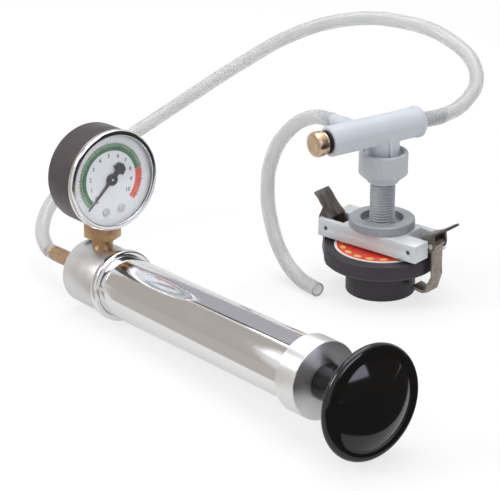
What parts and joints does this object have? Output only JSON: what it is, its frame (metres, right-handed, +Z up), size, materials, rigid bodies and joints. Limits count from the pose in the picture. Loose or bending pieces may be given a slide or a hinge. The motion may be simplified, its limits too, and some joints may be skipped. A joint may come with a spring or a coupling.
{
  "type": "radiator pressure tester",
  "caption": "Hand pump with a dial gauge, joined by a clear hose to a tee and a screw clamp whose rubber seal fits a filler neck",
  "frame": {"origin": "middle of the seal plug's foot, on the surface that the tester stands and lies on", "axes": "+Z up along the threaded tube, +X along the clamp plate's length towards the right hook; the pump lies beside the clamp, its knob towards +X"},
  "size_m": [0.3088, 0.2922, 0.1221],
  "materials": {
    "chromed_steel": "polished",
    "satin_aluminium": "satin, turned",
    "tee_aluminium": "fine satin",
    "plate_aluminium": "satin",
    "nut_aluminium": "fine ribbed, satin",
    "steel": "plain",
    "lever_steel": "dark, streaked",
    "hook_steel": "dark, streaked",
    "brass": "satin",
    "movement_brass": "plain",
    "black_rubber": "satin",
    "piston_plastic": "plain",
    "knob_plastic": "polished",
    "clear_hose": "milky, smooth",
    "case_paint": "satin dark",
    "lens_glass": "clear",
    "dial_white": "white with plain scale",
    "needle_black": "satin black",
    "label_red": "plain red with a white ring"
  },
  "bodies": {
    "tester": {"pump_tube": "chromed_steel", "pump_head": "satin_aluminium", "head_ring": "chromed_steel", "head_gasket": "black_rubber", "check_seat": "movement_brass", "check_ball": "steel", "check_spring": "steel", "hose_nipple": "brass", "rod_end_cap": "satin_aluminium", "rod_bush": "movement_brass", "gauge_socket": "brass", "gauge_case": "case_paint", "gauge_bezel": "chromed_steel", "gauge_lens": "lens_glass", "gauge_dial": "dial_white", "dial_screws": "steel", "dial_stop_pin": "steel", "bourdon_tube": "movement_brass", "movement_frame": "movement_brass", "bourdon_link": "movement_brass", "hairspring": "movement_brass", "pump_hose": "clear_hose", "drain_hose": "clear_hose", "tee_body": "tee_aluminium", "tee_inlet_barb": "tee_aluminium", "tee_drain_barb": "tee_aluminium", "valve_bush": "movement_brass", "valve_spring": "steel", "dust_ring": "black_rubber", "neck_cup": "tee_aluminium", "cup_seal_ring": "black_rubber", "threaded_tube": "nut_aluminium", "neck_seal": "black_rubber", "seal_label": "label_red", "seal_washer": "steel", "seal_nut": "steel"},
    "plunger": {"piston_rod": "steel", "piston": "piston_plastic", "piston_cup": "black_rubber", "piston_nut": "movement_brass", "pump_knob": "knob_plastic"},
    "sector": {"sector_gear": "movement_brass"},
    "needle": {"needle_shaft": "steel", "gauge_needle": "needle_black"},
    "release_button": {"valve_button": "brass", "valve_stem": "steel", "valve_seal_ring": "black_rubber"},
    "clamp": {"clamp_plate": "plate_aluminium", "lever_pins": "lever_steel"},
    "clamp_nut": {"ring_nut": "nut_aluminium", "nut_clip": "steel"},
    "left_latch": {"left_lever": "lever_steel", "left_hook_pin": "steel"},
    "right_latch": {"right_lever": "lever_steel", "right_hook_pin": "steel"},
    "left_hook": {"left_hook": "hook_steel"},
    "right_hook": {"right_hook": "hook_steel"}
  },
  "joints": [
    {"name": "plunger_slide", "type": "slide", "parent": "tester", "child": "plunger", "axis": [0.9771, -0.2077, 0.0472], "range_m": [0, 0.13]},
    {"name": "sector_turn", "type": "hinge", "parent": "tester", "child": "sector", "pos_m": [-0.10133, -0.12046, 0.06549], "axis": [0.9771, -0.2077, 0.0472], "range_deg": [0, 33]},
    {"name": "needle_turn", "type": "hinge", "parent": "tester", "child": "needle", "pos_m": [-0.09995, -0.11212, 0.07365], "axis": [-0.9771, 0.2077, -0.0472], "range_deg": [0, 264.01]},
    {"name": "button_press", "type": "slide", "parent": "tester", "child": "release_button", "axis": [0.2756, 0.9613, 0], "range_m": [0, 0.0015], "stiffness_N_per_m": 1500, "springref_m": -0.003, "deforming": ["valve_spring"]},
    {"name": "clamp_slide", "type": "slide", "parent": "tester", "child": "clamp", "axis": [0, 0, 1], "range_m": [-0.0015, 0.0035]},
    {"name": "nut_turn", "type": "hinge", "parent": "clamp", "child": "clamp_nut", "pos_m": [0, 0, 0.0396], "axis": [0, 0, 1], "range_deg": [-361, 841]},
    {"name": "left_lever_lift", "type": "hinge", "parent": "clamp", "child": "left_latch", "pos_m": [-0.0275, -0.004, 0.0325], "axis": [0, 1, 0], "range_deg": [0, 58]},
    {"name": "right_lever_lift", "type": "hinge", "parent": "clamp", "child": "right_latch", "pos_m": [0.0275, 0.004, 0.0325], "axis": [0, -1, 0], "range_deg": [0, 75]},
    {"name": "left_hook_swing", "type": "hinge", "parent": "left_latch", "child": "left_hook", "pos_m": [-0.03299, -0.004, 0.03575], "axis": [0, 1, 0], "range_deg": [-3, 80]},
    {"name": "right_hook_swing", "type": "hinge", "parent": "right_latch", "child": "right_hook", "pos_m": [0.0337, 0.004, 0.034], "axis": [0, -1, 0], "range_deg": [-3, 80]}
  ],
  "couplings": [
    {"joint": "needle_turn", "follows": "sector_turn", "ratio": 8},
    {"joint": "nut_turn", "follows": "clamp_slide", "rad_per_m": 4188.8}
  ]
}
